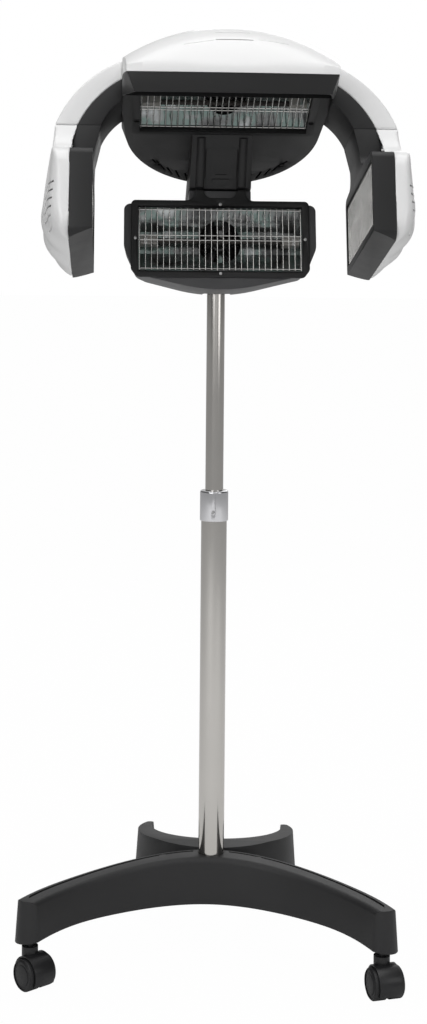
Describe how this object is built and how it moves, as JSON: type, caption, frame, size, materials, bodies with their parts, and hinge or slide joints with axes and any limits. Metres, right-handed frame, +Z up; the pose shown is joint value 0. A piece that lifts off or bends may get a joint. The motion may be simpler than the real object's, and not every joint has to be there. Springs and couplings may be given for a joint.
{
  "type": "infrared hair processor",
  "caption": "Infrared hair processor: head with top, nape and two side lamps on a telescopic column and a castered base.",
  "frame": {"origin": "on the floor under the axis of the column", "axes": "+Z up along the column, -Y towards the client side that the lamps face, +X to the right as seen from that side"},
  "size_m": [0.5788, 0.6172, 1.3936],
  "materials": {
    "base_plastic": "satin moulded",
    "plate_steel": "zinc plated",
    "screw_steel": "bright",
    "polished_steel": "polished",
    "collar_chrome": "polished",
    "bush_plastic": "satin",
    "caster_plastic": "semi-gloss",
    "wheel_plastic": "semi-gloss",
    "white_shell": "glossy",
    "black_plastic": "satin",
    "panel_plastic": "glossy",
    "button_plastic": "satin",
    "grille_steel": "bright",
    "reflector_mirror": "polished",
    "heater_quartz": "clear",
    "fan_plastic": "satin"
  },
  "bodies": {
    "base": {"base_front_leg": "base_plastic", "base_rear_leg": "base_plastic", "base_plate": "plate_steel", "base_screws": "screw_steel", "pole_socket": "plate_steel", "lower_tube": "polished_steel", "collar": "collar_chrome", "collar_set_screw": "screw_steel", "guide_bush": "bush_plastic"},
    "caster_front_left": {"caster_hood_front_left": "caster_plastic"},
    "wheels_front_left": {"caster_wheels_front_left": "wheel_plastic"},
    "caster_front_right": {"caster_hood_front_right": "caster_plastic"},
    "wheels_front_right": {"caster_wheels_front_right": "wheel_plastic"},
    "caster_rear_left": {"caster_hood_rear_left": "caster_plastic"},
    "wheels_rear_left": {"caster_wheels_rear_left": "wheel_plastic"},
    "caster_rear_right": {"caster_hood_rear_right": "caster_plastic"},
    "wheels_rear_right": {"caster_wheels_rear_right": "wheel_plastic"},
    "column": {"upper_tube": "polished_steel", "swivel_post": "plate_steel"},
    "yoke": {"swivel_yoke": "plate_steel"},
    "head": {"tilt_pin": "screw_steel", "top_cover": "white_shell", "top_housing": "black_plastic", "head_screws": "screw_steel", "top_grille": "grille_steel", "top_reflector": "reflector_mirror", "top_heater": "heater_quartz", "neck_housing": "black_plastic", "latch_door": "black_plastic", "control_panel": "panel_plastic", "power_inlet": "panel_plastic", "left_arm_cover": "white_shell", "left_arm_liner": "black_plastic", "right_arm_cover": "white_shell", "right_arm_liner": "black_plastic"},
    "button_minus": {"button_minus": "button_plastic"},
    "button_start": {"button_start": "button_plastic"},
    "button_plus": {"button_plus": "button_plastic"},
    "latch_button": {"latch_button": "black_plastic"},
    "top_fan": {"top_fan": "fan_plastic"},
    "nape_lamp": {"nape_housing": "black_plastic", "nape_plate": "black_plastic", "nape_grille": "grille_steel", "nape_reflector": "reflector_mirror", "nape_heater": "heater_quartz", "nape_hinge_pins": "screw_steel", "nape_screws": "screw_steel"},
    "nape_fan": {"nape_fan": "fan_plastic"},
    "left_lamp": {"left_shell": "white_shell", "left_housing": "black_plastic", "left_grille": "grille_steel", "left_reflector": "reflector_mirror", "left_heater": "heater_quartz"},
    "left_fan": {"left_fan": "fan_plastic"},
    "right_lamp": {"right_shell": "white_shell", "right_housing": "black_plastic", "right_grille": "grille_steel", "right_reflector": "reflector_mirror", "right_heater": "heater_quartz"},
    "right_fan": {"right_fan": "fan_plastic"}
  },
  "joints": [
    {"name": "swivel_front_left", "type": "hinge", "parent": "base", "child": "caster_front_left", "pos_m": [-0.258, -0.163, 0.06], "axis": [0, 0, 1], "continuous": true},
    {"name": "roll_front_left", "type": "hinge", "parent": "caster_front_left", "child": "wheels_front_left", "pos_m": [-0.24951, -0.17148, 0.023], "axis": [0.7071, 0.7071, 0], "continuous": true},
    {"name": "swivel_front_right", "type": "hinge", "parent": "base", "child": "caster_front_right", "pos_m": [0.258, -0.163, 0.06], "axis": [0, 0, 1], "continuous": true},
    {"name": "roll_front_right", "type": "hinge", "parent": "caster_front_right", "child": "wheels_front_right", "pos_m": [0.26191, -0.17435, 0.023], "axis": [0.9455, 0.3256, 0], "continuous": true},
    {"name": "swivel_rear_left", "type": "hinge", "parent": "base", "child": "caster_rear_left", "pos_m": [-0.116, 0.176, 0.06], "axis": [0, 0, 1], "continuous": true},
    {"name": "roll_rear_left", "type": "hinge", "parent": "caster_rear_left", "child": "wheels_rear_left", "pos_m": [-0.11, 0.18639, 0.023], "axis": [-0.866, 0.5, 0], "continuous": true},
    {"name": "swivel_rear_right", "type": "hinge", "parent": "base", "child": "caster_rear_right", "pos_m": [0.116, 0.176, 0.06], "axis": [0, 0, 1], "continuous": true},
    {"name": "roll_rear_right", "type": "hinge", "parent": "caster_rear_right", "child": "wheels_rear_right", "pos_m": [0.1119, 0.18728, 0.023], "axis": [-0.9397, -0.342, 0], "continuous": true},
    {"name": "height_slide", "type": "slide", "parent": "base", "child": "column", "axis": [0, 0, 1], "range_m": [-0.2, 0.15]},
    {"name": "head_swivel", "type": "hinge", "parent": "column", "child": "yoke", "pos_m": [0, 0, 1.14], "axis": [0, 0, 1], "range_deg": [-170, 170]},
    {"name": "head_tilt", "type": "hinge", "parent": "yoke", "child": "head", "pos_m": [0, 0, 1.1656], "axis": [0.9942, 0.108, 0], "range_deg": [-20, 13]},
    {"name": "button_minus_press", "type": "slide", "parent": "head", "child": "button_minus", "axis": [0.0839, -0.7726, -0.6293], "range_m": [0, 0.0015], "stiffness_N_per_m": 600, "springref_m": -0.001},
    {"name": "button_start_press", "type": "slide", "parent": "head", "child": "button_start", "axis": [0.0839, -0.7726, -0.6293], "range_m": [0, 0.0015], "stiffness_N_per_m": 600, "springref_m": -0.001},
    {"name": "button_plus_press", "type": "slide", "parent": "head", "child": "button_plus", "axis": [0.0839, -0.7726, -0.6293], "range_m": [0, 0.0015], "stiffness_N_per_m": 600, "springref_m": -0.001},
    {"name": "latch_button_press", "type": "slide", "parent": "head", "child": "latch_button", "axis": [-0.0926, 0.8523, 0.5149], "range_m": [0, 0.0025], "stiffness_N_per_m": 600, "springref_m": -0.001},
    {"name": "top_fan_spin", "type": "hinge", "parent": "head", "child": "top_fan", "pos_m": [0.01946, -0.17912, 1.2842], "axis": [0.0502, -0.4621, -0.8854], "continuous": true},
    {"name": "nape_hinge", "type": "hinge", "parent": "head", "child": "nape_lamp", "pos_m": [0.00775, -0.07139, 1.16681], "axis": [0.9942, 0.108, 0], "range_deg": [-12, 0]},
    {"name": "nape_fan_spin", "type": "hinge", "parent": "nape_lamp", "child": "nape_fan", "pos_m": [0.01081, -0.09952, 1.10202], "axis": [0.1052, -0.9687, 0.225], "continuous": true},
    {"name": "left_lamp_swivel", "type": "hinge", "parent": "head", "child": "left_lamp", "pos_m": [-0.17484, -0.21004, 1.24643], "axis": [-0.0243, 0.2236, 0.9744], "range_deg": [-25, 25]},
    {"name": "left_fan_spin", "type": "hinge", "parent": "left_lamp", "child": "left_fan", "pos_m": [-0.16226, -0.2564, 1.13423], "axis": [0.9942, 0.108, 0], "continuous": true},
    {"name": "right_lamp_swivel", "type": "hinge", "parent": "head", "child": "right_lamp", "pos_m": [0.21586, -0.16759, 1.24643], "axis": [-0.0243, 0.2236, 0.9744], "range_deg": [-25, 25]},
    {"name": "right_fan_spin", "type": "hinge", "parent": "right_lamp", "child": "right_fan", "pos_m": [0.21353, -0.21558, 1.13423], "axis": [0.9942, 0.108, 0], "continuous": true}
  ]
}
